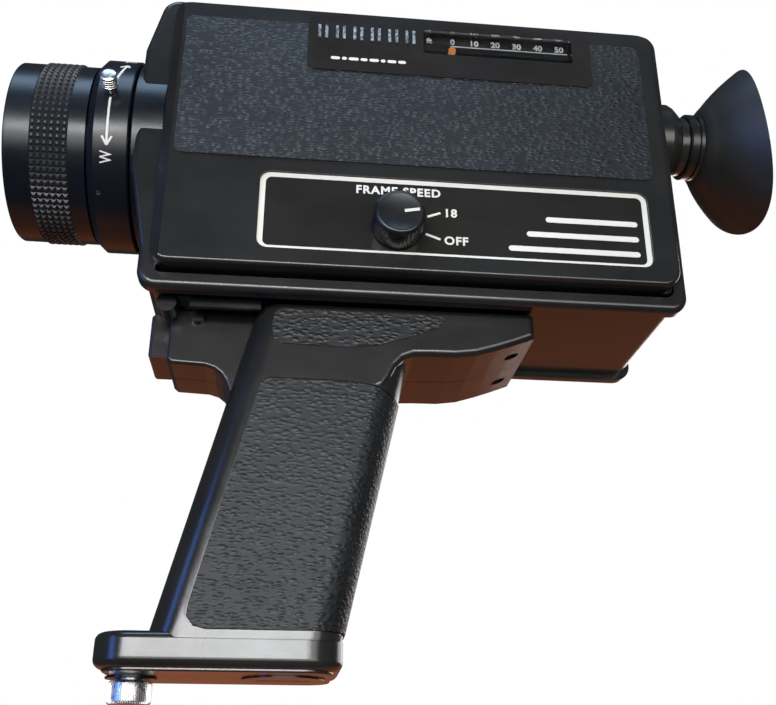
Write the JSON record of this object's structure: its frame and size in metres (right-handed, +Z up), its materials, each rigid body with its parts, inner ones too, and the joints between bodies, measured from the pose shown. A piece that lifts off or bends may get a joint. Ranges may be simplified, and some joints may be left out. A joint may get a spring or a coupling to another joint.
{
  "type": "cine camera",
  "caption": "Pistol-grip cine camera with a zoom lens, soft flared eyecup, side-hinged film door, footage scale and a frame-speed knob on its leather-covered body.",
  "frame": {"origin": "the mouth of the tripod thread in the strap screw, at the foot of the grip", "axes": "+Z up, lens facing -Y, eyepiece +Y, the side with the speed knob faces +X"},
  "size_m": [0.0739, 0.2259, 0.1982],
  "materials": {
    "body_plastic": "satin black moulded plastic",
    "leatherette": "grained black leatherette",
    "panel_plastic": "smooth black",
    "mark_paint": "off-white print",
    "chrome": "bright plated",
    "clear": "clear acrylic",
    "orange_plastic": "orange",
    "gloss_black": "gloss black",
    "dark_plastic": "matt black",
    "steel": "plain steel",
    "lens_paint": "satin black paint",
    "rubber": "matt black",
    "glass": "coated glass",
    "dark_metal": "black",
    "brass": "plain",
    "white_gear": "nylon"
  },
  "bodies": {
    "camera": {"base_plate": "body_plastic", "battery_contact": "brass", "beam_prism": "glass", "body_shell": "body_plastic", "chassis_plate": "steel", "control_panel": "panel_plastic", "eyepiece_boss": "body_plastic", "eyepiece_tube": "lens_paint", "film_gate": "steel", "finder_housing": "dark_plastic", "footage_scale": "panel_plastic", "footage_window": "clear", "grip_bracket": "dark_metal", "grip_left": "body_plastic", "grip_right": "body_plastic", "grip_screws": "dark_metal", "hinge_pins": "steel", "left_cover": "body_plastic", "left_leather": "leatherette", "lens_barrel": "lens_paint", "lens_collar": "lens_paint", "motor": "steel", "name_plate": "panel_plastic", "panel_marks": "mark_paint", "pivot_screws": "dark_metal", "plate_bars": "chrome", "rear_element": "glass", "saddle_leather": "leatherette", "side_pads": "leatherette", "speed_switch": "dark_plastic", "strap_washer": "dark_metal", "trigger_spring": "steel", "trigger_switch": "dark_plastic"},
    "focus": {"focus_ring": "lens_paint", "focus_grip": "rubber", "front_ring": "lens_paint"},
    "front_group": {"front_cell": "lens_paint", "front_element": "glass"},
    "zoom": {"zoom_ring": "lens_paint", "zoom_lever": "chrome", "zoom_set_screw": "steel"},
    "zoom_group": {"zoom_cell": "lens_paint", "zoom_element": "glass"},
    "speed_knob": {"speed_knob": "gloss_black"},
    "door": {"film_door": "body_plastic", "door_leather": "leatherette", "door_window": "clear"},
    "latch": {"door_latch": "gloss_black"},
    "pointer": {"footage_pointer": "orange_plastic"},
    "counter": {"counter_gear": "white_gear"},
    "shutter": {"shutter_disc": "dark_metal"},
    "motor_shaft": {"motor_pinion": "brass"},
    "idler": {"drive_gear": "white_gear"},
    "spindle": {"takeup_spindle": "white_gear"},
    "diopter": {"diopter_ring": "gloss_black"},
    "eye_lens": {"eye_lens": "glass"},
    "eyecup": {"eyecup": "rubber"},
    "trigger": {"trigger": "body_plastic"},
    "battery_cap": {"battery_cap": "body_plastic"},
    "strap_screw": {"strap_screw": "chrome"}
  },
  "joints": [
    {"name": "focus_turn", "type": "hinge", "parent": "camera", "child": "focus", "pos_m": [0, -0.0343, 0.1548], "axis": [0, 1, 0], "range_deg": [-90, 90]},
    {"name": "focus_slide", "type": "slide", "parent": "camera", "child": "front_group", "axis": [0, 1, 0], "range_m": [-0.0014, 0.0014]},
    {"name": "zoom_turn", "type": "hinge", "parent": "camera", "child": "zoom", "pos_m": [0, -0.0173, 0.1548], "axis": [0, 1, 0], "range_deg": [-40, 40]},
    {"name": "zoom_slide", "type": "slide", "parent": "camera", "child": "zoom_group", "axis": [0, 1, 0], "range_m": [-0.004, 0.004]},
    {"name": "speed_turn", "type": "hinge", "parent": "camera", "child": "speed_knob", "pos_m": [0.032, 0.0613, 0.1176], "axis": [1, 0, 0], "range_deg": [-33.5, 11.5]},
    {"name": "door_swing", "type": "hinge", "parent": "camera", "child": "door", "pos_m": [-0.03, -0.0051, 0.1548], "axis": [0, 0, 1], "range_deg": [0, 110]},
    {"name": "latch_slide", "type": "slide", "parent": "door", "child": "latch", "axis": [0, 1, 0], "range_m": [-0.0028, 0]},
    {"name": "counter_turn", "type": "hinge", "parent": "camera", "child": "counter", "pos_m": [0.0275, 0.0577, 0.1665], "axis": [1, 0, 0], "range_deg": [-250, 0]},
    {"name": "pointer_slide", "type": "slide", "parent": "camera", "child": "pointer", "axis": [0, 1, 0], "range_m": [0, 0.0314]},
    {"name": "shutter_spin", "type": "hinge", "parent": "camera", "child": "shutter", "pos_m": [0, 0.0092, 0.1368], "axis": [0, 1, 0], "continuous": true},
    {"name": "motor_spin", "type": "hinge", "parent": "camera", "child": "motor_shaft", "pos_m": [0.017, 0.1087, 0.1588], "axis": [1, 0, 0], "continuous": true},
    {"name": "idler_spin", "type": "hinge", "parent": "camera", "child": "idler", "pos_m": [0.017, 0.0895, 0.1588], "axis": [1, 0, 0], "continuous": true},
    {"name": "takeup_spin", "type": "hinge", "parent": "camera", "child": "spindle", "pos_m": [0.017, 0.0687, 0.1348], "axis": [1, 0, 0], "continuous": true},
    {"name": "diopter_turn", "type": "hinge", "parent": "camera", "child": "diopter", "pos_m": [0, 0.1587, 0.1722], "axis": [0, 1, 0], "range_deg": [-60, 60]},
    {"name": "diopter_slide", "type": "slide", "parent": "camera", "child": "eye_lens", "axis": [0, 1, 0], "range_m": [-0.0011, 0.0011]},
    {"name": "eyecup_turn", "type": "hinge", "parent": "camera", "child": "eyecup", "pos_m": [0, 0.1637, 0.1722], "axis": [0, 1, 0], "range_deg": [-180, 180]},
    {"name": "trigger_pull", "type": "slide", "parent": "camera", "child": "trigger", "axis": [0, 1, 0], "range_m": [0, 0.0024], "stiffness_N_per_m": 600, "springref_m": -0.0004, "deforming": ["trigger_spring"]},
    {"name": "cap_turn", "type": "hinge", "parent": "camera", "child": "battery_cap", "pos_m": [0, 0.0367, 0.0088], "axis": [0, 0, 1], "range_deg": [0, 90]},
    {"name": "strap_screw_turn", "type": "hinge", "parent": "camera", "child": "strap_screw", "pos_m": [0, 0, 0.0068], "axis": [0, 0, 1], "range_deg": [-180, 180]}
  ],
  "couplings": [
    {"joint": "focus_slide", "follows": "focus_turn", "m_per_rad": 0.00082761},
    {"joint": "zoom_slide", "follows": "zoom_turn", "m_per_rad": 0.0054431},
    {"joint": "counter_turn", "follows": "pointer_slide", "rad_per_m": -138.95},
    {"joint": "diopter_turn", "follows": "diopter_slide", "rad_per_m": 951.9},
    {"joint": "idler_spin", "follows": "takeup_spin", "ratio": -1.1111},
    {"joint": "motor_spin", "follows": "takeup_spin", "ratio": 4.1667},
    {"joint": "shutter_spin", "follows": "takeup_spin", "ratio": 24}
  ]
}
